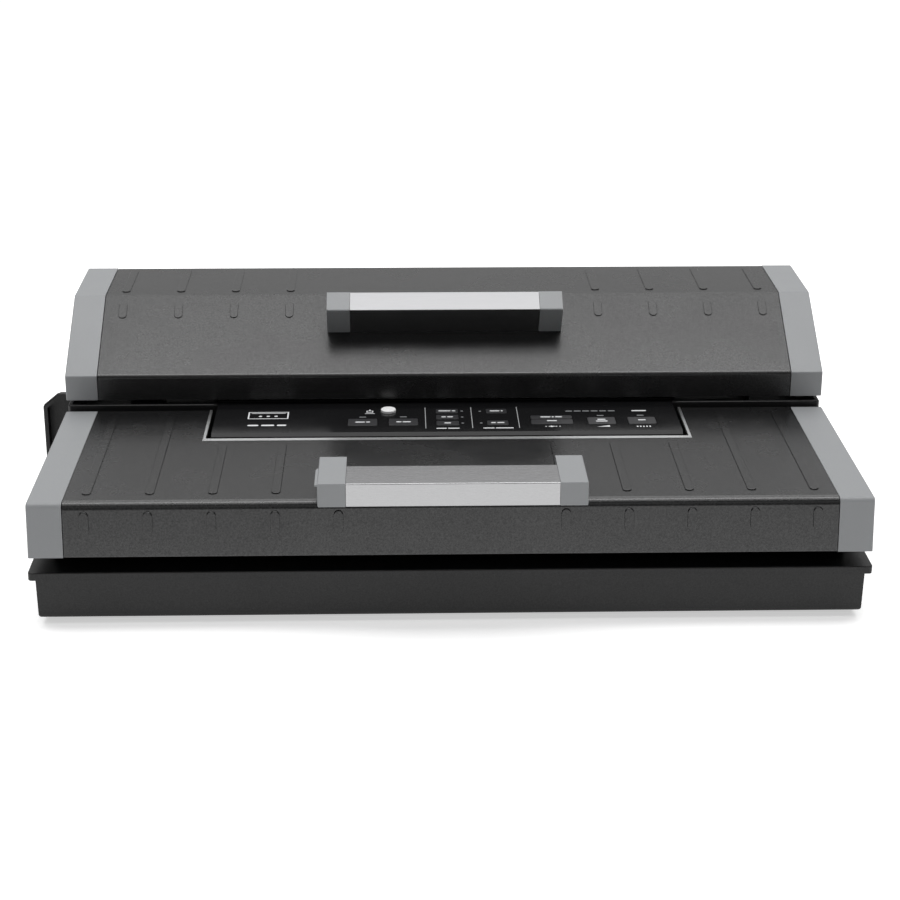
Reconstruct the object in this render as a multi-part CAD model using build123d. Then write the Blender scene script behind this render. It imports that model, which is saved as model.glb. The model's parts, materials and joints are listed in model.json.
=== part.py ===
from build123d import *
import os
from math import atan2, cos, hypot, sin

# Chamberless vacuum packing machine with a film roll compartment, millimetres, +Z up.
# The model is drawn with x = 0 on the symmetry plane of the lids, y = 0 on the front top
# edge of the front lid and z = 0 under the base shell, and is moved once at the end so
# that its origin is at the bottom centre of its bounding box.

# ---- driving dimensions ----
BASE_HALF = 244.0
FLANGE_HALF = 248.0
HOUSING_HALF = 245.5
DECK_HALF = 236.0
DEPTH = 292.0
FOOT_HEIGHT = 4.0
FLANGE_LOW = 26.6
FLANGE_TOP = 31.4
BAG_GAP_TOP = 41.4
BAG_GAP_REAR = 22.0
DECK_TOP = 58.0
WALL = 2.5
LID_WALL = 2.6
FIT_GAP = 0.2

LID_HALF = 225.5
CAP_IN = 226.0
CAP_OUT = 246.5
LID_LOW = 41.9
LID_TOP = 74.7
LID_FRONT_LOW = -3.8
LID_REAR = 158.7
CAP_DROP = 0.4
RIB_FIRST = 66.1
RIB_PITCH = 36.8
RIB_WIDTH = 5.4
RIB_HEIGHT = 0.6
FRONT_RIB_HEIGHT = 0.9
RIB_SINK = 0.5
LID_EDGE_ROUND = 5.0

NOTCH_HALF = 151.5
TRIM_HALF = 153.2
TRIM_FRONT = 101.1
NOTCH_FRONT = 105.1

CONSOLE_HALF = 148.3
CONSOLE_FRONT = 107.3
CONSOLE_REAR = 168.0
PANEL_LOW = 74.9
PANEL_TOP = 76.9
PANEL_BEVEL = 2.0

ROLL_FRONT = 163.1
ROLL_LOW = 80.6
ROLL_CREASE_ROUND = 3.0
SLOPE_FOOT = (163.3, 96.65)
SLOPE_HEAD = (223.3, 133.5)
ROLL_TOP = 133.5
ROLL_CAP_PROUD = 0.4

FRONT_HINGE = (152.5, 68.5)
FRONT_HINGE_X = 185.0
FRONT_PIN_R = 1.5
ROLL_HINGE = (285.5, 86.0)
ROLL_HINGE_X = 155.0
ROLL_PIN_R = 1.6
LUG_R = 3.0
LUG_HALF = 5.0
RUNNING_GAP = 0.05

LATCH_AXIS = (24.0, 68.0)
LATCH_SHAFT_R = 2.5
LATCH_FRONT = -12.0
LATCH_BAR_REAR = 16.5
LATCH_ARM_REAR = 31.6
LATCH_LOW = 75.9
LATCH_TOP = 90.1
LATCH_BAR_HALF = 61.4
LATCH_END = 77.8
ARM_X = 70.0
HOOK_X = 215.5

ROLL_AXIS = (235.0, 92.0)
FILM_R = 30.0
CORE_R = 19.0
CORE_BORE_R = 16.0
FILM_HALF = 200.0

KEY_TRAVEL_ROOM = 0.8
KEY_GAP = 0.25
KEY_LIP = 0.35
BOARD_TOP = 66.6

# key name: centre x, centre y, width, depth
KEYS = {
    "key_container": (-53.7, 127.4, 18.6, 12.6),
    "key_marinate": (-27.7, 127.4, 18.6, 12.6),
    "key_time_long": (0.4, 147.6, 14.4, 8.0),
    "key_time_medium": (0.4, 136.2, 14.4, 8.0),
    "key_time_short": (0.4, 124.8, 14.4, 8.0),
    "key_vacuum_gentle": (32.3, 147.0, 13.6, 8.0),
    "key_vacuum_normal": (32.3, 124.8, 13.6, 8.0),
    "key_vacuum_seal": (67.0, 134.9, 26.6, 5.8),
    "key_cancel": (67.0, 126.3, 26.6, 8.6),
    "key_pulse": (98.8, 127.6, 17.6, 12.6),
    "key_seal": (124.6, 127.6, 17.6, 12.6),
}
POWER_BUTTON = (-37.3, 148.4, 4.85)
POWER_PROUD = 1.7
POWER_HEIGHT = 4.7

nodes = {}


# ---- helpers ----
def block(x0, x1, y0, y1, z0, z1):
    size = Box(x1 - x0, y1 - y0, z1 - z0)
    return Pos((x0 + x1) / 2, (y0 + y1) / 2, (z0 + z1) / 2) * size


def rod_x(x0, x1, centre, radius):
    """A cylinder along X about centre = (y, z)."""
    return Pos((x0 + x1) / 2, centre[0], centre[1]) * Rot(0, 90, 0) * Cylinder(radius, x1 - x0)


def rod_y(x, y0, y1, z, radius):
    return Pos(x, (y0 + y1) / 2, z) * Rot(90, 0, 0) * Cylinder(radius, y1 - y0)


def post(x, y, z0, z1, radius):
    return Pos(x, y, (z0 + z1) / 2) * Cylinder(radius, z1 - z0)


def prism_x(outline, x0, x1):
    """The (y, z) outline extruded along X from x0 to x1."""
    face = make_face(Plane.YZ.offset(x0) * Polyline(*outline, close=True))
    return extrude(face, amount=x1 - x0, dir=(1, 0, 0))


def prism_y(outline, y0, y1):
    """The (x, z) outline extruded along Y from y0 to y1."""
    points = [(x, y0, z) for x, z in outline]
    face = make_face(Polyline(*points, close=True))
    return extrude(face, amount=y1 - y0, dir=(0, 1, 0))


def edge_along_x(shape, y, z):
    """The edges that run along X through (y, z)."""
    found = []
    for edge in shape.edges().filter_by(Axis.X):
        centre = edge.center()
        if hypot(centre.Y - y, centre.Z - z) < 0.05:
            found.append(edge)
    return found


def mirrored(shape):
    return shape.mirror(Plane.YZ)


def both(shape):
    return shape + mirrored(shape)


def raised_slot(plane, u, x, length, height=RIB_HEIGHT):
    """A low rounded rib on a plane whose local x runs up the face."""
    slot = extrude(SlotOverall(length, RIB_WIDTH), amount=height + RIB_SINK)
    top = slot.faces().sort_by(Axis.Z)[-1]
    slot = fillet(top.edges(), 0.6 * height)
    return plane * Pos(u, -x, -RIB_SINK) * slot


def face_plane(low, high):
    """A plane on the face between two (y, z) points, with its local x up the face."""
    run = high[0] - low[0]
    rise = high[1] - low[1]
    return Plane(origin=(0, low[0], low[1]), x_dir=(0, run, rise), z_dir=(0, -rise, run))


TOP_PLANE = face_plane((0.0, LID_TOP), (LID_REAR, LID_TOP))
FRONT_PLANE = face_plane((LID_FRONT_LOW, LID_LOW), (0.0, LID_TOP))
SLOPE_PLANE = face_plane(SLOPE_FOOT, SLOPE_HEAD)
ROLL_TOP_PLANE = face_plane((0.0, ROLL_TOP), (DEPTH, ROLL_TOP))


# ---- base ----
def base_tub():
    front = [(3.5, 0.0), (1.2, FLANGE_LOW), (1.2, FLANGE_TOP), (290.0, FLANGE_TOP), (290.0, 0.0)]
    outer = prism_x(front, -BASE_HALF, BASE_HALF)
    low = [e for e in outer.edges() if e.center().Z < 0.1]
    outer = fillet(low, 3.0)
    inside = block(-BASE_HALF + WALL, BASE_HALF - WALL, 6.5, 287.5, WALL, 28.9)
    flange = block(-FLANGE_HALF, FLANGE_HALF, -1.5, 291.0, FLANGE_LOW, FLANGE_TOP)
    flange = fillet(flange.edges().filter_by(Axis.Z), 2.5)
    flange = fillet(flange.faces().sort_by(Axis.Z)[-1].edges(), 0.7)
    mouth = block(-228.0, 228.0, BAG_GAP_REAR + 5.0, 282.0, 20.0, FLANGE_TOP + 1)
    tub = outer + flange
    tub -= inside
    tub -= mouth
    for x, y in screw_places():
        tub -= post(x, y, -1.0, WALL + 1, 1.7)
        tub -= post(x, y, -1.0, 2.2, 3.7)
        tub += post(x, y, WALL, 22.0, 5.0) - post(x, y, WALL - 1, 23.0, 1.7)
    for x, y in board_posts():
        tub += post(x, y, WALL, 12.0, 3.0)
    return tub


def screw_places():
    return [(x, y) for x in (-180.0, 0.0, 180.0) for y in (60.0, 150.0)]


def board_posts():
    return [(x, y) for x in (-108.0, 38.0) for y in (200.0, 270.0)]


def base_screws():
    group = []
    for x, y in screw_places():
        head = post(x, y, 0.3, 2.2, 3.4)
        shank = post(x, y, 2.0, 16.0, 1.5)
        slot = block(x - 2.4, x + 2.4, y - 0.5, y + 0.5, 0.2, 1.2)
        group.append(head + shank - slot)
    return Compound(children=group)


def rubber_feet():
    group = []
    for x in (-215.0, 215.0):
        for y in (28.0, 262.0):
            foot = post(x, y, -FOOT_HEIGHT, 0.0, 9.0)
            rim = foot.edges().filter_by(GeomType.CIRCLE).sort_by(Axis.Z)[0]
            group.append(fillet(rim, 1.0))
    return Compound(children=group)


DECK_FRONT = 5.0
POCKET_X = (210.5, 220.5)
POCKET_Y = (7.7, 35.0)
POCKET_FLOOR = 44.0
CHANNEL_X = 200.0
CHANNEL_Y = (46.0, 92.0)
CHANNEL_FLOOR = 46.0
PORT_X = 175.0
PORT_Y = 69.0


def base_deck():
    deck = block(-DECK_HALF, DECK_HALF, DECK_FRONT, 161.5, FLANGE_TOP, DECK_TOP)
    deck = fillet(edge_along_x(deck, DECK_FRONT, DECK_TOP), 1.5)
    deck -= block(-DECK_HALF - 1, DECK_HALF + 1, DECK_FRONT - 1, BAG_GAP_REAR, FLANGE_TOP - 1, BAG_GAP_TOP)
    inside = DECK_HALF - WALL
    deck -= block(-inside, inside, DECK_FRONT + WALL, 159.0, BAG_GAP_TOP + WALL, DECK_TOP - WALL)
    deck -= block(-inside, inside, BAG_GAP_REAR + WALL, 159.0, FLANGE_TOP - 1, DECK_TOP - WALL)
    pocket_shell = block(208.5, 222.5, 6.0, 37.5, POCKET_FLOOR - WALL, DECK_TOP - 1)
    pocket = block(*POCKET_X, *POCKET_Y, POCKET_FLOOR, DECK_TOP + 1)
    deck += both(pocket_shell)
    deck += block(-202.5, 202.5, 43.5, 94.5, CHANNEL_FLOOR - WALL, DECK_TOP - 1)
    deck -= both(pocket)
    deck -= block(-CHANNEL_X, CHANNEL_X, *CHANNEL_Y, CHANNEL_FLOOR, DECK_TOP + 1)
    deck -= post(PORT_X, PORT_Y, CHANNEL_FLOOR - WALL - 1, CHANNEL_FLOOR + 1, 2.5)
    deck -= post(219.0, 70.0, 50.0, DECK_TOP + 1, 1.6)
    lug = block(FRONT_HINGE_X - LUG_HALF, FRONT_HINGE_X + LUG_HALF, FRONT_HINGE[0] - LUG_R,
                FRONT_HINGE[0] + LUG_R, DECK_TOP - 1, FRONT_HINGE[1])
    lug += rod_x(FRONT_HINGE_X - LUG_HALF, FRONT_HINGE_X + LUG_HALF, FRONT_HINGE, LUG_R)
    lug -= rod_x(FRONT_HINGE_X - 9, FRONT_HINGE_X + 9, FRONT_HINGE, FRONT_PIN_R + RUNNING_GAP)
    deck += both(lug)
    return deck


def ring(z0, z1):
    """The closed loop of seal that runs round the vacuum channel."""
    outer = Pos(0, 69.0, z0) * extrude(RectangleRounded(422.0, 61.0, 7.0), amount=z1 - z0)
    inner = Pos(0, 69.0, z0 - 1) * extrude(RectangleRounded(415.0, 54.0, 4.0), amount=z1 - z0 + 2)
    return outer - inner


def drip_tray():
    tray = block(-199.0, 150.0, 47.0, 91.0, CHANNEL_FLOOR, 55.0)
    tray = fillet(tray.edges().filter_by(Axis.Z), 3.0)
    tray -= block(-197.8, 148.8, 48.2, 89.8, CHANNEL_FLOOR + 1.2, 56.0)
    return tray


def sealing_bar():
    bar = block(-205.0, 205.0, 7.0, 17.0, DECK_TOP, 61.0)
    return bar - block(-205.0, 205.0, 10.5, 13.5, 60.7, 61.1)


def latch_catches():
    plate = block(212.0, 219.0, 33.0, 35.0, 45.0, 57.0)
    lip = block(212.0, 219.0, 29.9, 33.0, 51.2, 53.2)
    return both(plate + lip)


def lid_microswitch():
    body = block(214.0, 224.0, 60.0, 80.0, 44.0, DECK_TOP - WALL)
    return body + post(219.0, 70.0, 55.0, 59.6, 1.3)


def rear_housing():
    h = HOUSING_HALF
    rim = 77.5
    shell = block(-h, h, 161.8, 290.0, FLANGE_TOP, rim)
    shell = fillet(shell.edges().filter_by(Axis.Z), 2.0)
    shell = fillet(shell.faces().sort_by(Axis.Z)[-1].edges(), 0.8)
    shell -= block(-h + WALL, h - WALL, 164.3, 287.5, 57.0, rim + 1)
    shell -= block(-h + WALL, h - WALL, 164.3, 287.5, FLANGE_TOP - 1, 54.5)
    shell += block(-151.0, 151.0, 162.0, 171.0, 55.0, rim)
    shell -= block(-148.6, 148.6, 160.0, 168.4, 57.6, rim + 1)
    shell -= block(-h - 1, h + 1, 262.0, 291.0, 76.5, rim + 1)
    shell -= block(-163.7, -136.3, 286.0, 291.0, 34.0, 54.0)
    shell -= rod_y(120.0, 286.0, 291.0, 44.0, 5.1)
    lug = block(ROLL_HINGE_X - LUG_HALF, ROLL_HINGE_X + LUG_HALF, ROLL_HINGE[0] - LUG_R,
                ROLL_HINGE[0] + LUG_R, 56.0, ROLL_HINGE[1])
    lug += rod_x(ROLL_HINGE_X - LUG_HALF, ROLL_HINGE_X + LUG_HALF, ROLL_HINGE, LUG_R)
    lug -= rod_x(ROLL_HINGE_X - 9, ROLL_HINGE_X + 9, ROLL_HINGE, ROLL_PIN_R + RUNNING_GAP)
    return shell + both(lug)


def console_housing():
    half = CONSOLE_HALF
    body = block(-half, half, CONSOLE_FRONT, CONSOLE_REAR, DECK_TOP, PANEL_LOW)
    body -= block(-half + 5, half - 5, 112.0, 164.0, 60.5, PANEL_LOW + 1)
    for x in (-130.0, 0.0, 130.0):
        for y in (116.0, 160.0):
            body += post(x, y, 60.0, 65.0, 3.0)
    return body


def key_board():
    board = block(-140.0, 140.0, 113.0, 163.0, 65.0, BOARD_TOP)
    for x, y, width, depth in KEYS.values():
        board += post(x, y, BOARD_TOP - 0.3, BOARD_TOP + 0.3, 1.8)
    return board + post(POWER_BUTTON[0], POWER_BUTTON[1], BOARD_TOP - 0.3, BOARD_TOP + 0.3, 1.8)


def control_panel():
    outline = [(CONSOLE_FRONT, PANEL_LOW), (CONSOLE_FRONT + PANEL_BEVEL, PANEL_TOP),
               (CONSOLE_REAR, PANEL_TOP), (CONSOLE_REAR, PANEL_LOW)]
    panel = prism_x(outline, -CONSOLE_HALF, CONSOLE_HALF)
    for x, y, width, depth in KEYS.values():
        hole = RectangleRounded(width + 2 * KEY_GAP, depth + 2 * KEY_GAP, 1.4)
        panel -= Pos(x, y, PANEL_LOW - 1) * extrude(hole, amount=5)
    x, y, radius = POWER_BUTTON
    return panel - post(x, y, PANEL_LOW - 1, PANEL_TOP + 1, radius + KEY_GAP)


def key(x, y, width, depth):
    cap = extrude(RectangleRounded(width, depth, 1.2), amount=3.0)
    cap = fillet(cap.faces().sort_by(Axis.Z)[-1].edges(), 0.15)
    shape = Pos(x, y, PANEL_TOP + 0.2 - 3.0) * cap
    lip = extrude(RectangleRounded(width + 2 * KEY_LIP, depth + 2 * KEY_LIP, 1.3), amount=1.0)
    shape += Pos(x, y, 73.5) * lip
    return shape + post(x, y, BOARD_TOP + KEY_TRAVEL_ROOM, 74.0, 1.2)


def power_button():
    x, y, radius = POWER_BUTTON
    cap = Cylinder(radius, POWER_HEIGHT)
    cap = fillet(cap.faces().sort_by(Axis.Z)[-1].edges(), 0.8)
    shape = Pos(x, y, PANEL_TOP + POWER_PROUD - POWER_HEIGHT / 2) * cap
    shape += post(x, y, 73.5, 74.5, radius + KEY_LIP)
    return shape + post(x, y, BOARD_TOP + 1.6, 74.0, 1.5)


def main_board():
    board = block(-115.0, 45.0, 195.0, 275.0, 12.0, 13.6)
    board += block(-100.0, -70.0, 205.0, 225.0, 13.5, 33.0)
    board += block(-20.0, 5.0, 230.0, 262.0, 13.5, 20.0)
    for x in (-90.0, -72.0, -54.0):
        board += post(x, 255.0, 13.5, 36.0, 6.5)
    for x in (-45.0, -30.0, 20.0):
        board += block(x - 5, x + 5, 200.0, 214.0, 13.5, 26.0)
    return board


HOSE_Z = 26.5


def vacuum_pump():
    head = block(118.0, 178.0, 200.0, 250.0, WALL, 50.0)
    head = fillet(head.edges().filter_by(Axis.Z), 4.0)
    head += rod_x(62.0, 119.0, (225.0, 27.0), 19.0)
    head += rod_x(58.0, 63.0, (225.0, 27.0), 8.0)
    return head + rod_y(150.0, 194.0, 201.0, HOSE_Z, 4.0)


def transformer():
    core = block(-205.0, -140.0, 200.0, 250.0, WALL, 48.0)
    core -= block(-192.0, -153.0, 199.0, 251.0, 12.0, 39.0)
    winding = block(-190.5, -154.5, 192.0, 258.0, 13.5, 37.5)
    winding = fillet(winding.edges().filter_by(Axis.Z), 4.0)
    return core + winding + block(-176.0, -169.0, 200.0, 250.0, 11.0, 40.0)


def solenoid_valve():
    body = block(108.0, 132.0, 254.0, 274.0, 32.0, 52.0)
    return body + rod_x(88.0, 109.0, (264.0, 42.0), 8.0)


def vacuum_hose():
    path = FilletPolyline((150.0, 193.8, HOSE_Z), (150.0, 130.0, HOSE_Z), (PORT_X, PORT_Y, 23.0),
                          (PORT_X, PORT_Y, CHANNEL_FLOOR - WALL - 0.1), radius=9.0)
    start = Plane(origin=path @ 0, z_dir=path % 0)
    return sweep(start * (Circle(4.0) - Circle(2.5)), path=path)


def power_inlet():
    body = block(-163.5, -136.5, 272.0, 290.0, 34.2, 53.8)
    body += block(-166.0, -134.0, 290.0, 291.5, 32.6, 55.4)
    body -= block(-161.0, -139.0, 274.0, 292.0, 37.0, 51.0)
    for x, z in ((-157.0, 42.5), (-150.0, 45.5), (-143.0, 42.5)):
        body += block(x - 1, x + 1, 273.0, 286.0, z - 2, z + 2)
    return body


def hose_port():
    tube = rod_y(120.0, 274.0, 291.6, 44.0, 5.0)
    tube += rod_y(120.0, 290.0, 291.0, 44.0, 8.0)
    return tube - rod_y(120.0, 270.0, 293.0, 44.0, 3.0)


BRACKET_FRONT = 195.0
BRACKET_OUTER = [(-HOUSING_HALF, 73.9), (-257.5, 73.9), (-267.7, 65.5), (-267.7, 12.0), (-BASE_HALF, 12.0)]
BRACKET_INNER = [(-HOUSING_HALF, 71.1), (-256.5, 71.1), (-264.9, 64.1), (-264.9, 14.8), (-BASE_HALF, 14.8)]
BRACKET_WALL = [(-HOUSING_HALF, 72.3), (-256.9, 72.3), (-266.1, 64.8), (-266.1, 13.6), (-BASE_HALF, 13.6)]


def rounded_outline(outline, y0, y1, radius):
    """A plate on the bracket's outline with its two outer corners rounded."""
    plate = prism_y(outline, y0, y1)
    corners = []
    for edge in plate.edges().filter_by(Axis.Y):
        if edge.center().X < -256.0:
            corners.append(edge)
    return fillet(corners, radius)


def side_bracket():
    """A shallow C on the left side with a proud front rim and a closed back."""
    rim = rounded_outline(BRACKET_OUTER, BRACKET_FRONT, BRACKET_FRONT + 3.0, 3.0)
    front = [e for e in rim.faces().sort_by(Axis.Y)[0].edges() if e.center().X < -HOUSING_HALF - 1]
    rim = fillet(front, 1.0)
    cup = rim + rounded_outline(BRACKET_WALL, BRACKET_FRONT + 2.0, BRACKET_FRONT + 9.0, 2.0)
    cup -= rounded_outline(BRACKET_INNER, BRACKET_FRONT - 1.0, BRACKET_FRONT + 8.0, 1.0)
    cup += block(-257.2, -BASE_HALF, BRACKET_FRONT + 4.0, BRACKET_FRONT + 9.0, 14.0, 72.0)
    cup -= block(-HOUSING_HALF, 0.0, 190.0, 210.0, FLANGE_TOP, 80.0)
    return cup - block(-FLANGE_HALF, 0.0, 190.0, 210.0, FLANGE_LOW, FLANGE_TOP)


def roll_cradles():
    plate = block(206.0, 209.0, ROLL_AXIS[0] - 18, ROLL_AXIS[0] + 18, 57.0, ROLL_AXIS[1])
    plate += rod_x(206.0, 209.0, ROLL_AXIS, 18.0)
    plate += rod_x(190.0, 207.0, ROLL_AXIS, CORE_BORE_R - 0.5)
    return both(plate)


def tube_x(half, centre, outer, inner):
    return rod_x(-half, half, centre, outer) - rod_x(-half - 1, half + 1, centre, inner)


def cutter_rail():
    rail = block(-222.0, 222.0, 175.0, 180.0, 57.0, 70.0)
    return rail - block(-223.0, 223.0, 177.0, 178.0, 65.0, 71.0)


CUTTER_X = -195.0


def cutter_slider():
    x0 = CUTTER_X - 11
    x1 = CUTTER_X + 11
    saddle = block(x0, x1, 172.0, 183.0, 70.4, 76.0)
    saddle += block(x0, x1, 172.0, 174.6, 64.0, 71.0)
    saddle += block(x0, x1, 180.4, 183.0, 64.0, 71.0)
    knob = block(CUTTER_X - 6, CUTTER_X + 6, 173.5, 181.5, 75.5, 84.0)
    saddle += fillet(knob.edges().filter_by(Axis.Z), 3.0)
    return saddle - block(CUTTER_X - 4.6, CUTTER_X + 4.6, 177.3, 177.7, 70.0, 75.0)


def cutter_blade():
    outline = [(CUTTER_X - 4.5, 74.8), (CUTTER_X + 4.5, 74.8), (CUTTER_X + 4.5, 70.4),
               (CUTTER_X, 66.2), (CUTTER_X - 4.5, 70.4)]
    return prism_y(outline, 177.35, 177.65)


# ---- front lid ----
def front_lid_outline(drop):
    top = LID_TOP - drop
    return [(LID_FRONT_LOW, LID_LOW), (0.0, top), (LID_REAR, top), (LID_REAR, LID_LOW)]


FRONT_LID_INSIDE = [(-1.2, LID_LOW - 1), (2.7, LID_TOP - LID_WALL),
                    (LID_REAR - WALL, LID_TOP - LID_WALL), (LID_REAR - WALL, LID_LOW - 1)]
REAR_WALL_LOW = 64.0


def front_lid_shell():
    shell = prism_x(front_lid_outline(0.0), -LID_HALF, LID_HALF)
    shell = fillet(edge_along_x(shell, 0.0, LID_TOP), LID_EDGE_ROUND)
    shell = fillet(edge_along_x(shell, LID_REAR, LID_TOP), 1.0)
    shell = fillet(edge_along_x(shell, LID_FRONT_LOW, LID_LOW), 0.8)
    shell -= prism_x(FRONT_LID_INSIDE, -LID_HALF - 1, LID_HALF + 1)
    shell -= block(-LID_HALF - 1, LID_HALF + 1, 150.0, 160.0, LID_LOW - 1, REAR_WALL_LOW)
    walls = block(-TRIM_HALF - 0.7, TRIM_HALF + 0.7, TRIM_FRONT, LID_REAR, 62.0, LID_TOP - 0.5)
    shell += walls
    shell -= block(-NOTCH_HALF, NOTCH_HALF, NOTCH_FRONT, LID_REAR + 1, 60.0, LID_TOP + 1)
    shell -= block(-TRIM_HALF, TRIM_HALF, TRIM_FRONT, LID_REAR + 1, 73.0, LID_TOP + 1)
    shell += ring(66.0, LID_TOP - 1)
    for y in (6.5, 15.5):
        shell += block(-204.0, 204.0, y, y + 2.0, 66.0, LID_TOP - 1)
    shell += post(219.0, 70.0, 60.0, LID_TOP - 1, 2.0)
    y, z = FRONT_HINGE
    for x0 in (FRONT_HINGE_X - LUG_HALF - 6.4, FRONT_HINGE_X + LUG_HALF + 0.4):
        lug = block(x0, x0 + 6, y - LUG_R, y + LUG_R, z, LID_TOP - 1)
        lug += rod_x(x0, x0 + 6, FRONT_HINGE, LUG_R)
        lug -= rod_x(x0 - 1, x0 + 7, FRONT_HINGE, FRONT_PIN_R)
        shell += both(lug)
    relief = block(FRONT_HINGE_X - 6, FRONT_HINGE_X + 6, 156.0, 160.0, 60.0, LID_TOP - LID_WALL)
    shell -= both(relief)
    for i in range(5):
        x = RIB_FIRST + i * RIB_PITCH
        length = 140.5 if i > 2 else 81.5
        middle = 12.5 + length / 2
        shell += both(raised_slot(TOP_PLANE, middle, x, length))
        shell += both(raised_slot(FRONT_PLANE, 20.8, x, 13.8, FRONT_RIB_HEIGHT))
    slot = block(ARM_X - 4.5, ARM_X + 4.5, 19.0, 35.0, 60.0, LID_TOP + 2)
    return shell - both(slot)


def front_lid_cap():
    cap = prism_x(front_lid_outline(CAP_DROP), CAP_IN, CAP_OUT)
    cap = fillet(edge_along_x(cap, 0.0, LID_TOP - CAP_DROP), 3.0)
    outer = [e for e in cap.edges() if abs(e.center().X - CAP_OUT) < 0.01 and e.center().Z > LID_LOW + 1]
    cap = fillet(outer, 1.0)
    cap -= prism_x(FRONT_LID_INSIDE, CAP_IN - 1, CAP_OUT - WALL)
    return cap - block(CAP_IN - 1, CAP_OUT - WALL, 150.0, 160.0, LID_LOW - 1, REAR_WALL_LOW)


def notch_trim():
    top = LID_TOP + 0.2
    trim = block(-TRIM_HALF, TRIM_HALF, TRIM_FRONT, LID_REAR, 73.0, top)
    return trim - block(-NOTCH_HALF, NOTCH_HALF, NOTCH_FRONT, LID_REAR + 1, 72.0, top + 1)


def latch_brackets():
    """Thin plates on the lid that line the two openings for the latch arms."""
    pad = block(62.5, 77.4, 4.0, 30.5, LID_TOP, LID_TOP + 0.8)
    pad -= block(ARM_X - 4.5, ARM_X + 4.5, 19.0, 35.0, LID_TOP - 1, LID_TOP + 2)
    rib = raised_slot(TOP_PLANE, 12.5 + 81.5 / 2, RIB_FIRST, 81.5)
    return both(pad) - both(rib)


def latch_bearings():
    group = []
    for x0 in (88.0, 198.0):
        bearing = block(x0, x0 + 6, 20.0, 28.0, 64.0, LID_TOP - LID_WALL)
        bearing -= rod_x(x0 - 1, x0 + 7, LATCH_AXIS, LATCH_SHAFT_R + RUNNING_GAP)
        group += [bearing, mirrored(bearing)]
    return Compound(children=group)


# ---- latch handle ----
def latch_bar():
    half = LATCH_BAR_HALF
    bar = block(-half, half, LATCH_FRONT, LATCH_BAR_REAR, LATCH_LOW, LATCH_TOP)
    bar = fillet(bar.edges().filter_by(Axis.X), 0.6)
    return bar - block(-half - 1, half + 1, LATCH_FRONT + 2, LATCH_BAR_REAR - 2,
                       LATCH_LOW + 2, LATCH_TOP - 2)


def latch_end():
    outline = [(LATCH_FRONT, LATCH_LOW), (LATCH_FRONT, LATCH_TOP), (LATCH_ARM_REAR, LATCH_TOP),
               (LATCH_ARM_REAR, 84.0), (LATCH_AXIS[0] + 4, 84.0), (LATCH_BAR_REAR, LATCH_LOW)]
    end = prism_x(outline, LATCH_BAR_HALF + FIT_GAP, LATCH_END)
    outer = [e for e in end.edges() if abs(e.center().X - LATCH_END) < 0.01]
    end = fillet(outer, 0.8)
    end += block(ARM_X - 4, ARM_X + 4, LATCH_AXIS[0] - 4, LATCH_AXIS[0] + 4, LATCH_AXIS[1], 85.0)
    end += rod_x(ARM_X - 4, ARM_X + 4, LATCH_AXIS, 4.0)
    return end - rod_x(ARM_X - 5, ARM_X + 5, LATCH_AXIS, LATCH_SHAFT_R)


def latch_ear():
    """A thin ear beside the left end, a little below its top."""
    outline = [(-77.5, 14.8), (-78.6, 14.8), (-79.3, 11.5), (-79.3, -11.0), (-77.5, -11.0)]
    face = make_face(Polyline(*[(x, y, 88.2) for x, y in outline], close=True))
    return extrude(face, amount=1.1, dir=(0, 0, 1))


def latch_hooks():
    y, z = LATCH_AXIS
    hook = block(HOOK_X - 2.5, HOOK_X + 2.5, y - 2.5, y + 2.5, 46.0, z)
    hook += rod_x(HOOK_X - 2.5, HOOK_X + 2.5, LATCH_AXIS, 3.8)
    hook += block(HOOK_X - 2.5, HOOK_X + 2.5, y + 2, y + 5.5, 46.0, 50.0)
    return both(hook - rod_x(HOOK_X - 4, HOOK_X + 4, LATCH_AXIS, LATCH_SHAFT_R))


# ---- roll lid ----
ROLL_INSIDE = [(ROLL_FRONT + LID_WALL, ROLL_LOW - 1), (ROLL_FRONT + LID_WALL + 0.2, 95.2),
               (224.2, ROLL_TOP - LID_WALL), (DEPTH - LID_WALL, ROLL_TOP - LID_WALL),
               (DEPTH - LID_WALL, ROLL_LOW - 1)]


def roll_outline(proud):
    """The lid's side profile; proud moves the front, the slope and the top outwards."""
    slope = atan2(SLOPE_HEAD[1] - SLOPE_FOOT[1], SLOPE_HEAD[0] - SLOPE_FOOT[0])
    lift = proud / cos(slope)
    run = (1 - cos(slope)) / sin(slope) * proud
    return [(ROLL_FRONT - proud, ROLL_LOW), (SLOPE_FOOT[0] - proud, SLOPE_FOOT[1] + lift * (1 - sin(slope))),
            (SLOPE_HEAD[0] - run, ROLL_TOP + proud), (DEPTH, ROLL_TOP + proud), (DEPTH, ROLL_LOW)]


def roll_lid_solid(proud, x0, x1, crease, head_round):
    outline = roll_outline(proud)
    lid = prism_x(outline, x0, x1)
    lid = fillet(edge_along_x(lid, *outline[1]), crease)
    lid = fillet(edge_along_x(lid, *outline[2]), head_round)
    lid = fillet(edge_along_x(lid, *outline[3]), 3.0)
    return fillet(edge_along_x(lid, *outline[4]), 3.0)


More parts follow.
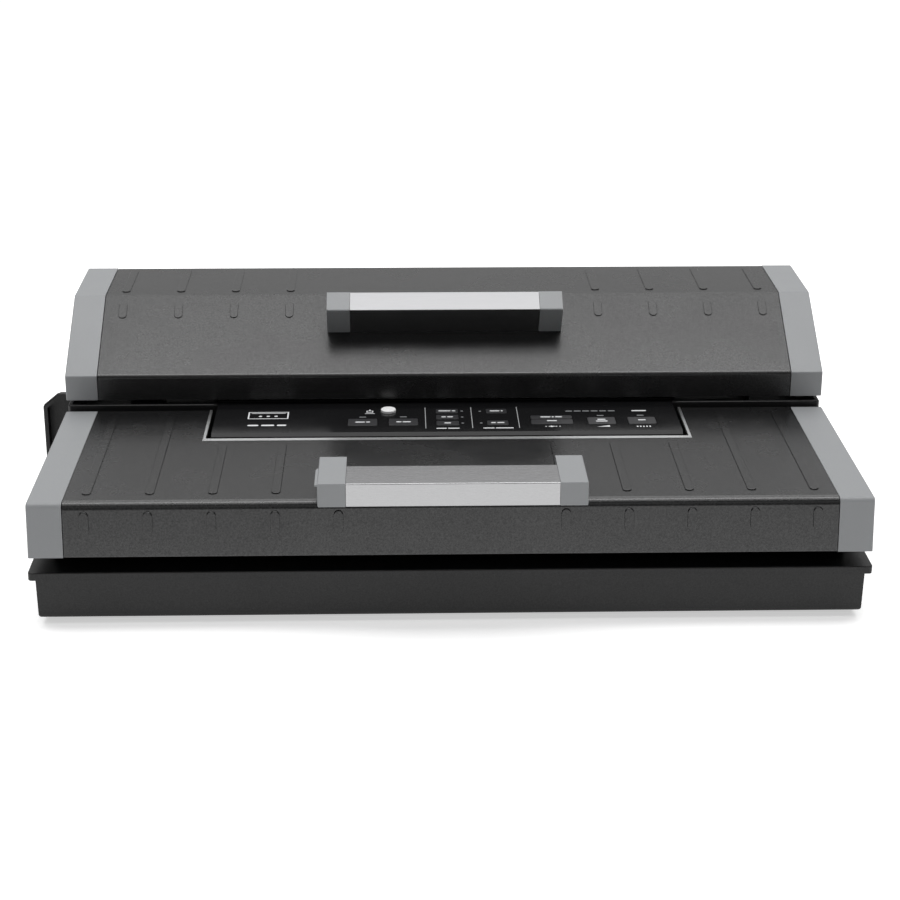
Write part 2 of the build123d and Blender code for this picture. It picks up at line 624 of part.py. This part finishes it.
def roll_lid_shell():
    shell = roll_lid_solid(0.0, -LID_HALF, LID_HALF, ROLL_CREASE_ROUND, 1.5)
    shell -= prism_x(ROLL_INSIDE, -LID_HALF - 1, LID_HALF + 1)
    y, z = ROLL_HINGE
    for x0 in (ROLL_HINGE_X - LUG_HALF - 6.4, ROLL_HINGE_X + LUG_HALF + 0.4):
        lug = block(x0, x0 + 6, y - 1, DEPTH - 1, z - 2, z + 10)
        lug += rod_x(x0, x0 + 6, ROLL_HINGE, LUG_R)
        lug -= rod_x(x0 - 1, x0 + 7, ROLL_HINGE, ROLL_PIN_R)
        shell += both(lug)
    relief = block(ROLL_HINGE_X - 5.7, ROLL_HINGE_X + 5.7, 280.0, DEPTH + 1, ROLL_LOW - 1, 93.0)
    shell -= both(relief)
    for i in range(4):
        x = RIB_FIRST + (i + 1) * RIB_PITCH
        shell += both(raised_slot(SLOPE_PLANE, 57.0, x, 14.0))
        shell += both(raised_slot(ROLL_TOP_PLANE, 258.0, x, 54.0))
    return shell


def roll_lid_cap():
    cap = roll_lid_solid(ROLL_CAP_PROUD, CAP_IN, CAP_OUT, 1.2, 0.8)
    outer = [e for e in cap.edges() if abs(e.center().X - CAP_OUT) < 0.01]
    cap = fillet(outer, 0.7)
    return cap - prism_x(ROLL_INSIDE, CAP_IN - 1, CAP_OUT - WALL)


ROLL_BAR_HALF = 62.0
ROLL_BAR_END = 77.2
ROLL_BAR_WALL = 1.6
# along the slope: the front face above the step, the front face below it and the back
BAR_FRONT = 36.2
BAR_STEP_FRONT = 36.8
BAR_BACK = 52.0
# off the slope: the step and the top
BAR_STEP = 14.3
BAR_TOP = 22.4


def slope_block(x0, x1, u0, u1, n0, n1):
    """A block on the lid's slope: u runs up the slope and n stands off it."""
    size = Box(u1 - u0, x1 - x0, n1 - n0)
    return SLOPE_PLANE * Pos((u0 + u1) / 2, -(x0 + x1) / 2, (n0 + n1) / 2) * size


def handle_solid(x0, x1):
    lower = slope_block(x0, x1, BAR_STEP_FRONT, BAR_BACK, 0.0, BAR_STEP + 1)
    upper = slope_block(x0, x1, BAR_FRONT, BAR_BACK, BAR_STEP, BAR_TOP)
    return lower + upper


def roll_handle_bar():
    half = ROLL_BAR_HALF
    bar = handle_solid(-half, half)
    for u in (BAR_FRONT, BAR_BACK):
        corner = SLOPE_PLANE.from_local_coords((u, 0.0, BAR_TOP))
        bar = fillet(edge_along_x(bar, corner.Y, corner.Z), 0.5)
    return bar - slope_block(-half - 1, half + 1, BAR_STEP_FRONT + ROLL_BAR_WALL,
                             BAR_BACK - ROLL_BAR_WALL, -1.0, BAR_TOP - ROLL_BAR_WALL)


def roll_handle_ends():
    end = handle_solid(ROLL_BAR_HALF + FIT_GAP, ROLL_BAR_END)
    corner = SLOPE_PLANE.from_local_coords((BAR_FRONT, 0.0, BAR_TOP))
    end = fillet(edge_along_x(end, corner.Y, corner.Z), 1.0)
    return both(end)


def pins(x, centre, radius):
    return both(rod_x(x - 11.4, x + 11.4, centre, radius))


# ---- all nodes ----
nodes["base_tub"] = base_tub()
nodes["base_screws"] = base_screws()
nodes["rubber_feet"] = rubber_feet()
nodes["base_deck"] = base_deck()
nodes["rear_housing"] = rear_housing()
nodes["console_housing"] = console_housing()
nodes["control_panel"] = control_panel()
nodes["key_board"] = key_board()
nodes["main_board"] = main_board()
nodes["vacuum_pump"] = vacuum_pump()
nodes["transformer"] = transformer()
nodes["solenoid_valve"] = solenoid_valve()
nodes["vacuum_hose"] = vacuum_hose()
nodes["sealing_bar"] = sealing_bar()
nodes["heating_wire"] = block(-204.0, 204.0, 10.6, 13.4, 60.7, 61.0)
nodes["seal_tape"] = block(-205.0, 205.0, 8.0, 16.0, 61.0, 61.2)
nodes["lower_gasket"] = ring(DECK_TOP, 61.0)
nodes["drip_tray"] = drip_tray()
nodes["latch_catches"] = latch_catches()
nodes["lid_microswitch"] = lid_microswitch()
nodes["power_inlet"] = power_inlet()
nodes["hose_port"] = hose_port()
nodes["side_bracket"] = side_bracket()
nodes["roll_cradles"] = roll_cradles()
nodes["cutter_rail"] = cutter_rail()
nodes["cutter_slider"] = cutter_slider()
nodes["cutter_blade"] = cutter_blade()
nodes["film_roll"] = tube_x(FILM_HALF, ROLL_AXIS, FILM_R, CORE_R + 0.1)
nodes["film_core"] = tube_x(FILM_HALF, ROLL_AXIS, CORE_R, CORE_BORE_R)
nodes["front_lid_shell"] = front_lid_shell()
nodes["front_lid_cap_right"] = front_lid_cap()
nodes["front_lid_cap_left"] = mirrored(nodes["front_lid_cap_right"])
nodes["notch_trim"] = notch_trim()
nodes["upper_gasket"] = ring(61.6, 66.0)
nodes["pressure_bar"] = block(-204.0, 204.0, 8.6, 15.4, 61.9, LID_TOP - LID_WALL)
nodes["latch_brackets"] = latch_brackets()
nodes["latch_bearings"] = latch_bearings()
nodes["front_hinge_pins"] = pins(FRONT_HINGE_X, FRONT_HINGE, FRONT_PIN_R)
nodes["latch_bar"] = latch_bar()
nodes["latch_ends"] = both(latch_end()) + latch_ear()
nodes["latch_shaft"] = rod_x(-220.0, 220.0, LATCH_AXIS, LATCH_SHAFT_R)
nodes["latch_hooks"] = latch_hooks()
nodes["roll_lid_shell"] = roll_lid_shell()
nodes["roll_lid_cap_right"] = roll_lid_cap()
nodes["roll_lid_cap_left"] = mirrored(nodes["roll_lid_cap_right"])
nodes["roll_handle_bar"] = roll_handle_bar()
nodes["roll_handle_ends"] = roll_handle_ends()
nodes["roll_hinge_pins"] = pins(ROLL_HINGE_X, ROLL_HINGE, ROLL_PIN_R)
nodes["power_button"] = power_button()
for name, place in KEYS.items():
    nodes[name] = key(*place)

# ---- move to the bottom centre of the bounding box and write ----
BRACKET_OUT = 267.7
SHIFT = ((BRACKET_OUT - FLANGE_HALF) / 2, -(LATCH_FRONT + DEPTH) / 2, FOOT_HEIGHT)
os.makedirs("parts", exist_ok=True)
for name, shape in nodes.items():
    moved = Pos(*SHIFT) * shape
    export_step(moved, f"parts/{name}.step")
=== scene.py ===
import json
from math import cos, pi, radians, sin

import bmesh
import bpy
from mathutils import Matrix, Vector


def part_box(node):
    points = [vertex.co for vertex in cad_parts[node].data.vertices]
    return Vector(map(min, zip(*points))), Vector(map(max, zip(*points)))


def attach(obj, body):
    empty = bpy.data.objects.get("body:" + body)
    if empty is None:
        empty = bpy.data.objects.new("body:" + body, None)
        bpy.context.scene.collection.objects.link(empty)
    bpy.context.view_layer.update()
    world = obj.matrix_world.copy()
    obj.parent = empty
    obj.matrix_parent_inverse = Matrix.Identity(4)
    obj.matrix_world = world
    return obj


MM = 0.001

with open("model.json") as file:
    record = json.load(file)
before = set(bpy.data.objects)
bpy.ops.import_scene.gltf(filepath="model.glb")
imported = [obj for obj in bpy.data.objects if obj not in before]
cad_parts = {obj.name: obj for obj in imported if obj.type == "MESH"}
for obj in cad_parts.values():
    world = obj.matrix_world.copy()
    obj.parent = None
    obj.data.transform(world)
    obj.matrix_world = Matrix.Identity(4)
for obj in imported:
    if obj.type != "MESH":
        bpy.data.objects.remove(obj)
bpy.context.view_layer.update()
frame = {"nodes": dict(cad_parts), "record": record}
scene = bpy.context.scene
nodes = frame["nodes"]

# ---- camera: in front of and above the machine, in millimetres and degrees ----
CAMERA_PLACE = Vector((-22.2, -1232.6, 523.1)) * MM
CAMERA_YAW = 1.598
CAMERA_PITCH = 20.709
CAMERA_ROLL = 0.165
CAMERA_LENS = 81.48


def add_camera():
    data = bpy.data.cameras.new("view_camera")
    data.sensor_width = 36.0
    data.lens = CAMERA_LENS
    data.clip_start = 0.05
    data.clip_end = 50.0
    camera = bpy.data.objects.new("view_camera", data)
    turn = Matrix.Rotation(-radians(CAMERA_YAW), 4, "Z")
    tilt = Matrix.Rotation(radians(90.0 - CAMERA_PITCH), 4, "X")
    roll = Matrix.Rotation(radians(CAMERA_ROLL), 4, "Z")
    camera.matrix_world = Matrix.Translation(CAMERA_PLACE) @ turn @ tilt @ roll
    scene.collection.objects.link(camera)
    scene.camera = camera


# ---- studio: softboxes over the machine and the floor, a faint fill in front, a dim back wall ----
WORLD_LEVEL = 0.04
FLOOR_WHITE = (0.82, 0.82, 0.82)
FLOOR_GLOW = 0.52
FLOOR_HALF = 40.0
# name: place, what it points at, width, depth, all in metres, and radiance
LAMPS = {
    "softbox": ((0.0, 0.55, 1.5), (0.0, 0.55, 0.0), 2.4, 0.9, 2.0),
    "key_strip": ((0.0, -0.08, 1.5), (0.0, -0.08, 0.0), 2.2, 0.38, 6.0),
    "front_softbox": ((0.0, -0.65, 1.5), (0.0, -0.65, 0.0), 2.4, 0.5, 1.6),
    "front_fill": ((0.0, -2.2, 1.35), (0.0, -0.15, 0.1), 3.0, 1.2, 0.35),
    "rear_softbox": ((0.0, 3.6, 3.2), (0.0, 3.6, 0.0), 7.0, 2.4, 1.8),
    "back_wall": ((0.0, 5.2, 1.7), (0.0, 0.0, 1.7), 9.0, 3.2, 0.5),
}


def add_area(name, place, target, size_x, size_y, radiance):
    light = bpy.data.lights.new(name, "AREA")
    light.shape = "RECTANGLE"
    light.size = size_x
    light.size_y = size_y
    light.energy = radiance * pi * size_x * size_y
    lamp = bpy.data.objects.new(name, light)
    lamp.location = place
    lamp.rotation_euler = (Vector(target) - Vector(place)).to_track_quat("-Z", "Y").to_euler()
    scene.collection.objects.link(lamp)


def add_world(level):
    world = bpy.data.worlds.new("studio")
    world.use_nodes = True
    background = world.node_tree.nodes["Background"]
    background.inputs["Color"].default_value = (1.0, 1.0, 1.0, 1.0)
    background.inputs["Strength"].default_value = level
    scene.world = world


def add_floor(material):
    mesh = bpy.data.meshes.new("floor")
    half = FLOOR_HALF
    corners = [(-half, -half, 0), (half, -half, 0), (half, half, 0), (-half, half, 0)]
    mesh.from_pydata(corners, [], [(0, 1, 2, 3)])
    floor = bpy.data.objects.new("floor", mesh)
    floor.data.materials.append(material)
    scene.collection.objects.link(floor)


# ---- materials ----
def start_material(name, color, roughness, metallic=0.0):
    material = bpy.data.materials.new(name)
    material.use_nodes = True
    shader = material.node_tree.nodes["Principled BSDF"]
    shader.inputs["Base Color"].default_value = (*color, 1.0)
    shader.inputs["Roughness"].default_value = roughness
    shader.inputs["Metallic"].default_value = metallic
    return material, shader


def add_node(material, kind, **values):
    node = material.node_tree.nodes.new(kind)
    for key, value in values.items():
        if key in node.inputs:
            node.inputs[key].default_value = value
        else:
            setattr(node, key, value)
    return node


def join(material, source, output, target, socket):
    material.node_tree.links.new(source.outputs[output], target.inputs[socket])


def object_space(material, stretch):
    coordinates = add_node(material, "ShaderNodeTexCoord")
    mapping = add_node(material, "ShaderNodeMapping")
    mapping.inputs["Scale"].default_value = stretch
    join(material, coordinates, "Object", mapping, "Vector")
    return mapping


def noise(material, place, size_mm, detail=2.0, rough=0.5):
    texture = add_node(material, "ShaderNodeTexNoise", Scale=1.0 / (size_mm * MM),
                       Detail=detail, Roughness=rough)
    join(material, place, "Vector", texture, "Vector")
    return texture


def spread(material, source, output, low, high, target, socket):
    """Maps a texture's 0.3 to 0.7 onto low to high and feeds it to a socket."""
    ramp = add_node(material, "ShaderNodeMapRange")
    ramp.inputs["From Min"].default_value = 0.3
    ramp.inputs["From Max"].default_value = 0.7
    ramp.inputs["To Min"].default_value = low
    ramp.inputs["To Max"].default_value = high
    join(material, source, output, ramp, "Value")
    join(material, ramp, "Result", target, socket)


def tint(material, shader, texture, dark, light):
    mix = add_node(material, "ShaderNodeMix", data_type="RGBA")
    mix.inputs["A"].default_value = (*dark, 1.0)
    mix.inputs["B"].default_value = (*light, 1.0)
    spread(material, texture, "Fac", 0.0, 1.0, mix, "Factor")
    material.node_tree.links.new(mix.outputs["Result"], shader.inputs["Base Color"])


def bump(material, shader, texture, output, depth_mm, strength=1.0):
    relief = add_node(material, "ShaderNodeBump", Strength=strength, Distance=depth_mm * MM)
    join(material, texture, output, relief, "Height")
    join(material, relief, "Normal", shader, "Normal")
    return relief


def scaled(color, factor):
    return tuple(min(1.0, c * factor) for c in color)


def moulded(name, color, roughness, grain_mm, depth_mm, contrast=0.12, shine=(0.5, 0.5)):
    """Moulded plastic: an eroded grain, its shine from pits to peaks, and faint handling marks."""
    material, shader = start_material(name, color, roughness)
    place = object_space(material, (1, 1, 1))
    grain = noise(material, place, grain_mm, 3.0, 0.6)
    marks = noise(material, place, 45.0, 4.0, 0.6)
    tint(material, shader, grain, scaled(color, 1 - contrast), scaled(color, 1 + contrast))
    spread(material, grain, "Fac", *shine, shader, "Specular IOR Level")
    spread(material, marks, "Fac", roughness - 0.03, roughness + 0.05, shader, "Roughness")
    bump(material, shader, grain, "Fac", depth_mm)
    return material


def brushed(name, color, roughness, along, depth_mm=0.004):
    """Drawn or brushed metal with fine lines that run along one axis."""
    material, shader = start_material(name, color, roughness, 1.0)
    stretch = tuple(0.012 if axis == along else 1.0 for axis in "XYZ")
    place = object_space(material, stretch)
    lines = noise(material, place, 0.16, 2.0, 0.6)
    tint(material, shader, lines, scaled(color, 0.95), scaled(color, 1.04))
    spread(material, lines, "Fac", roughness - 0.02, roughness + 0.03, shader, "Roughness")
    bump(material, shader, lines, "Fac", depth_mm)
    return material


def woven(name, color, pitch_mm):
    material, shader = start_material(name, color, 0.5)
    place = object_space(material, (1, 1, 1))
    weave = add_node(material, "ShaderNodeTexChecker", Scale=1.0 / (pitch_mm * MM))
    weave.inputs["Color1"].default_value = (*scaled(color, 0.8), 1.0)
    weave.inputs["Color2"].default_value = (*scaled(color, 1.15), 1.0)
    join(material, place, "Vector", weave, "Vector")
    join(material, weave, "Color", shader, "Base Color")
    bump(material, shader, weave, "Fac", 0.03)
    return material


def film_material():
    """Clear embossed film, wound so tight that it looks milky."""
    material, shader = start_material("clear_film", (0.70, 0.73, 0.75), 0.22)
    place = object_space(material, (1, 1, 1))
    emboss = add_node(material, "ShaderNodeTexVoronoi", Scale=1.0 / (1.6 * MM))
    join(material, place, "Vector", emboss, "Vector")
    cloud = noise(material, place, 18.0, 3.0)
    tint(material, shader, cloud, (0.60, 0.64, 0.67), (0.78, 0.80, 0.81))
    bump(material, shader, emboss, "Distance", 0.08)
    shader.inputs["Coat Weight"].default_value = 0.4
    return material


BLACK = (0.008, 0.008, 0.0083)
LID_GREY = (0.007, 0.007, 0.0073)
CAP_GREY = (0.240, 0.247, 0.254)
METAL = (0.385, 0.385, 0.39)
# the bar metal darkened for the roll handle: painted shade, not a different metal
SHADED_BAR_METAL = (0.265, 0.265, 0.27)

materials = {
    "black_abs": moulded("black_abs", BLACK, 0.42, 0.9, 0.03, 0.15, (0.3, 0.4)),
    "grained_lid": moulded("grained_lid", LID_GREY, 0.25, 1.0, 0.045, 0.4, (0.5, 0.82)),
    "grey_cap": moulded("grey_cap", CAP_GREY, 0.46, 0.5, 0.008, 0.03),
    "brushed_bar": brushed("brushed_bar", METAL, 0.26, "X"),
    # roll handle bar: a darker copy of the bar metal, painted shade
    "shaded_handle_metal": brushed("shaded_handle_metal", SHADED_BAR_METAL, 0.36, "X"),
    "silver_trim": brushed("silver_trim", (0.74, 0.75, 0.75), 0.32, "X"),
    "panel_film": moulded("panel_film", (0.006, 0.006, 0.0065), 0.16, 0.4, 0.001, 0.1),
    "key_rubber": moulded("key_rubber", (0.021, 0.021, 0.023), 0.40, 0.4, 0.004, 0.1),
    "white_button": moulded("white_button", (0.80, 0.80, 0.80), 0.25, 2.0, 0.002, 0.02),
    "soft_rubber": moulded("soft_rubber", (0.022, 0.022, 0.022), 0.65, 0.6, 0.03, 0.2),
    "silicone": moulded("silicone", (0.30, 0.05, 0.035), 0.45, 0.8, 0.01, 0.08),
    "circuit": moulded("circuit", (0.012, 0.10, 0.035), 0.35, 3.0, 0.01, 0.25),
    "steel": brushed("steel", (0.56, 0.56, 0.57), 0.30, "Z"),
    "pump_cast": moulded("pump_cast", (0.36, 0.36, 0.37), 0.5, 1.2, 0.08, 0.15),
    "copper_core": moulded("copper_core", (0.20, 0.11, 0.06), 0.45, 1.0, 0.03, 0.3),
    "ptfe": woven("ptfe", (0.46, 0.36, 0.22), 0.5),
    "bakelite": moulded("bakelite", (0.10, 0.055, 0.035), 0.45, 0.7, 0.02, 0.25),
    "clear_film": film_material(),
    "cardboard": moulded("cardboard", (0.42, 0.30, 0.18), 0.85, 1.5, 0.05, 0.2),
    "print_ink": moulded("print_ink", (0.62, 0.63, 0.64), 0.5, 0.5, 0.001, 0.05),
    "print_faint": moulded("print_faint", (0.16, 0.165, 0.17), 0.5, 0.5, 0.001, 0.05),
    "print_line": moulded("print_line", (0.30, 0.305, 0.31), 0.5, 0.5, 0.001, 0.05),
}


def dress_cad_nodes():
    """Gives every CAD node the finish of its slot in the record, except the roll handle bar, which
    gets a darker copy of the bar metal as painted shade.
    """
    for part in frame["record"]["subparts"]:
        node = nodes[part["node"]]
        # the roll handle bar takes the darker copy of the bar metal instead of its slot's finish:
        # painted shade
        finish = "shaded_handle_metal" if part["node"] == "roll_handle_bar" else part["material_slot"]
        node.data.materials.clear()
        node.data.materials.append(materials[finish])
        for face in node.data.polygons:
            face.material_index = 0


# ---- printed marks on the console ----
PRINT_HEIGHT = 0.06 * MM
PANEL_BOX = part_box("control_panel")
PANEL_TOP = PANEL_BOX[1].z
DOT_SIDES = 16


class Marks:
    """Flat printed marks, collected into one mesh on the plane z = level."""

    def __init__(self, name, body, level, material, slot):
        self.name = name
        self.body = body
        self.level = level
        self.material = material
        self.slot = slot
        self.mesh = bmesh.new()

    def polygon(self, points):
        low = [self.mesh.verts.new((x, y, self.level)) for x, y in points]
        high = [self.mesh.verts.new((x, y, self.level + PRINT_HEIGHT)) for x, y in points]
        count = len(points)
        self.mesh.faces.new(list(reversed(low)))
        self.mesh.faces.new(high)
        for i in range(count):
            j = (i + 1) % count
            self.mesh.faces.new((low[i], low[j], high[j], high[i]))

    def bar(self, x, y, width, depth):
        """A bar with round ends, all sizes in millimetres from the point (x, y) in metres."""
        radius = min(width, depth) / 2 * 0.9
        points = []
        for corner, (sx, sy) in enumerate(((1, 1), (-1, 1), (-1, -1), (1, -1))):
            for step in range(4):
                angle = radians(corner * 90 + step * 30)
                px = sx * (width / 2 - radius) + radius * cos(angle)
                py = sy * (depth / 2 - radius) + radius * sin(angle)
                points.append((x + px * MM, y + py * MM))
        self.polygon(points)

    def dot(self, x, y, radius):
        points = []
        for step in range(DOT_SIDES):
            angle = 2 * pi * step / DOT_SIDES
            points.append((x + radius * MM * cos(angle), y + radius * MM * sin(angle)))
        self.polygon(points)

    def frame(self, x, y, width, depth, line):
        half_w = (width - line) / 2 * MM
        half_d = (depth - line) / 2 * MM
        for side in (-1, 1):
            self.bar(x, y + side * half_d, width, line)
            self.bar(x + side * half_w, y, line, depth - 2 * line)

    def dashes(self, x, y, widths, depth, gap=0.7):
        total = sum(widths) + gap * (len(widths) - 1)
        place = -total / 2
        for width in widths:
            self.bar(x + (place + width / 2) * MM, y, width, depth)
            place += width + gap

    def finish(self):
        mesh = bpy.data.meshes.new(self.name)
        bmesh.ops.recalc_face_normals(self.mesh, faces=self.mesh.faces)
        self.mesh.to_mesh(mesh)
        self.mesh.free()
        piece = bpy.data.objects.new(self.name, mesh)
        piece.data.materials.append(materials[self.material])
        scene.collection.objects.link(piece)
        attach(piece, self.body)


def centre(node):
    low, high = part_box(node)
    return (low.x + high.x) / 2, (low.y + high.y) / 2, high.z


# generic marks on each key: rows of dashes, as (offset towards the back in mm, dash widths)
KEY_ROWS = {
    "key_container": [(0.0, (6.2, 2.6))],
    "key_marinate": [(0.0, (3.4, 5.2))],
    "key_time_long": [(0.0, (8.0, 2.4))],
    "key_time_medium": [(0.0, (3.0, 4.0))],
    "key_time_short": [(0.0, (4.4,))],
    "key_vacuum_gentle": [(0.0, (6.4, 1.4))],
    "key_vacuum_normal": [(0.0, (3.2, 4.8))],
    "key_vacuum_seal": [(0.0, (6.6, 1.4, 4.6))],
    "key_cancel": [(1.4, (6.4,))],
    "key_pulse": [(2.0, (5.4,)), (-1.2, (7.6,))],
    "key_seal": [(0.6, (5.0,))],
}
DASH_DEPTH = 1.7
# marks on the overlay: width and depth in millimetres
DIVIDER = (0.5, 39.5)
KEY_LAMP = (1.8, 1.6)
WIDE_LAMP = (4.6, 1.5)
PROGRESS_LAMP = (4.6, 1.9)
SPEED_BAR = (1.0, 2.2)
ARROW_DOT = 0.55
# and how far they are from the centre of the key that they belong to
DIVIDER_BELOW = 1.0
TIME_LAMP_RIGHT = 9.6
VACUUM_LAMP_LEFT = 10.6
WIDE_LAMP_BEHIND = 9.8
PROGRESS_BEHIND = 18.6
GROUP_MARK_BELOW = 9.4
ARROW_BELOW = 8.6


def print_keys():
    for name, rows in KEY_ROWS.items():
        x, y, top = centre(name)
        ink = Marks(name + "_legend", name, top, "print_ink", "white_button")
        for offset, widths in rows:
            ink.dashes(x, y + offset * MM, widths, DASH_DEPTH)
        ink.finish()


def print_console():
    """Dividers, lamps and group marks printed on the overlay, placed from the keys."""
    ink = Marks("console_print", "base", PANEL_TOP, "print_ink", "white_button")
    faint = Marks("console_lamps", "base", PANEL_TOP, "print_faint", "grey_cap")
    lines = Marks("console_dividers", "base", PANEL_TOP, "print_line", "white_button")
    long_x, long_y, _ = centre("key_time_long")
    short_x, short_y, _ = centre("key_time_short")
    gentle_x, gentle_y, _ = centre("key_vacuum_gentle")
    normal_x, normal_y, _ = centre("key_vacuum_normal")
    seal_x, seal_y, _ = centre("key_vacuum_seal")
    cancel_x, cancel_y, _ = centre("key_cancel")
    pulse_x, pulse_y, _ = centre("key_pulse")
    last_x, last_y, _ = centre("key_seal")
    middle_y = (long_y + short_y) / 2 - DIVIDER_BELOW * MM
    for x in (long_x - 14.0 * MM, (long_x + gentle_x) / 2 - 0.3 * MM, gentle_x + 13.4 * MM):
        lines.bar(x, middle_y, *DIVIDER)
    for name in ("key_time_long", "key_time_medium", "key_time_short"):
        x, y, _ = centre(name)
        faint.bar(x + TIME_LAMP_RIGHT * MM, y, *KEY_LAMP)
    for x, y in ((gentle_x, gentle_y), (normal_x, normal_y)):
        faint.bar(x - VACUUM_LAMP_LEFT * MM, y, *KEY_LAMP)
    for name in ("key_container", "key_marinate", "key_pulse", "key_seal"):
        x, y, _ = centre(name)
        faint.bar(x, y + WIDE_LAMP_BEHIND * MM, *WIDE_LAMP)
    for step in range(6):
        x = pulse_x + (-19.6 + step * 5.5) * MM
        faint.bar(x, pulse_y + PROGRESS_BEHIND * MM, *PROGRESS_LAMP)
    ink.dashes(short_x, short_y - GROUP_MARK_BELOW * MM, (6.6, 7.4), 1.5)
    ink.dashes(normal_x, normal_y - GROUP_MARK_BELOW * MM, (7.2, 11.4), 1.5)
    ink.dashes(last_x, last_y + PROGRESS_BEHIND * MM, (9.6,), 1.9)
    wedge_x = pulse_x - 4.0 * MM
    wedge_y = pulse_y - 11.2 * MM
    wedge_end = wedge_x + 8.4 * MM
    ink.polygon([(wedge_x, wedge_y), (wedge_end, wedge_y), (wedge_end, wedge_y + 2.6 * MM)])
    for step in range(5):
        ink.bar(last_x + (step - 2) * 2.0 * MM, last_y - 11.0 * MM, *SPEED_BAR)
    arrow_y = cancel_y - ARROW_BELOW * MM
    for step in (-2, -1, 1, 2):
        ink.dot(cancel_x + step * 2.2 * MM, arrow_y, ARROW_DOT)
    arrow_back = cancel_x - 1.6 * MM
    ink.polygon([(arrow_back, arrow_y + 1.4 * MM), (cancel_x + 1.9 * MM, arrow_y),
                 (arrow_back, arrow_y - 1.4 * MM)])
    ink.finish()
    faint.finish()
    lines.finish()


BAG_FROM_END = 34.0
BAG_BEHIND_ROW = 14.0
PLUG_LEFT = 12.0


def print_symbols():
    """A bag outline at the console's left end and a plug sign beside the round button."""
    ink = Marks("console_symbols", "base", PANEL_TOP, "print_ink", "white_button")
    low = PANEL_BOX[0]
    _, row_y, _ = centre("key_container")
    bag_x = low.x + BAG_FROM_END * MM
    bag_y = row_y + BAG_BEHIND_ROW * MM
    ink.frame(bag_x, bag_y, 26.0, 13.0, 0.9)
    ink.bar(bag_x, bag_y + 4.0 * MM, 22.0, 0.8)
    for step in (-1, 0, 1):
        ink.dot(bag_x + step * 5.0 * MM, bag_y - 1.6 * MM, 1.1)
    ink.dashes(bag_x, row_y - 4.5 * MM, (7.0, 8.4, 6.0), 2.4, 1.6)
    button_x, button_y, _ = centre("power_button")
    sign_x = button_x - PLUG_LEFT * MM
    ink.frame(sign_x, button_y - 1.0 * MM, 4.4, 3.6, 0.7)
    ink.bar(sign_x, button_y + 1.8 * MM, 0.8, 2.4)
    ink.bar(sign_x, button_y - 4.6 * MM, 6.4, 0.7)
    ink.finish()


# ---- build ----
add_camera()
add_world(WORLD_LEVEL)
for name, (place, target, width, depth, radiance) in LAMPS.items():
    add_area(name, place, target, width, depth, radiance)
floor_material, floor_shader = start_material("floor_paint", FLOOR_WHITE, 0.9)
floor_shader.inputs["Emission Color"].default_value = (1.0, 1.0, 1.0, 1.0)
floor_shader.inputs["Emission Strength"].default_value = FLOOR_GLOW
add_floor(floor_material)
dress_cad_nodes()
print_keys()
print_console()
print_symbols()

scene.view_settings.view_transform = "Standard"
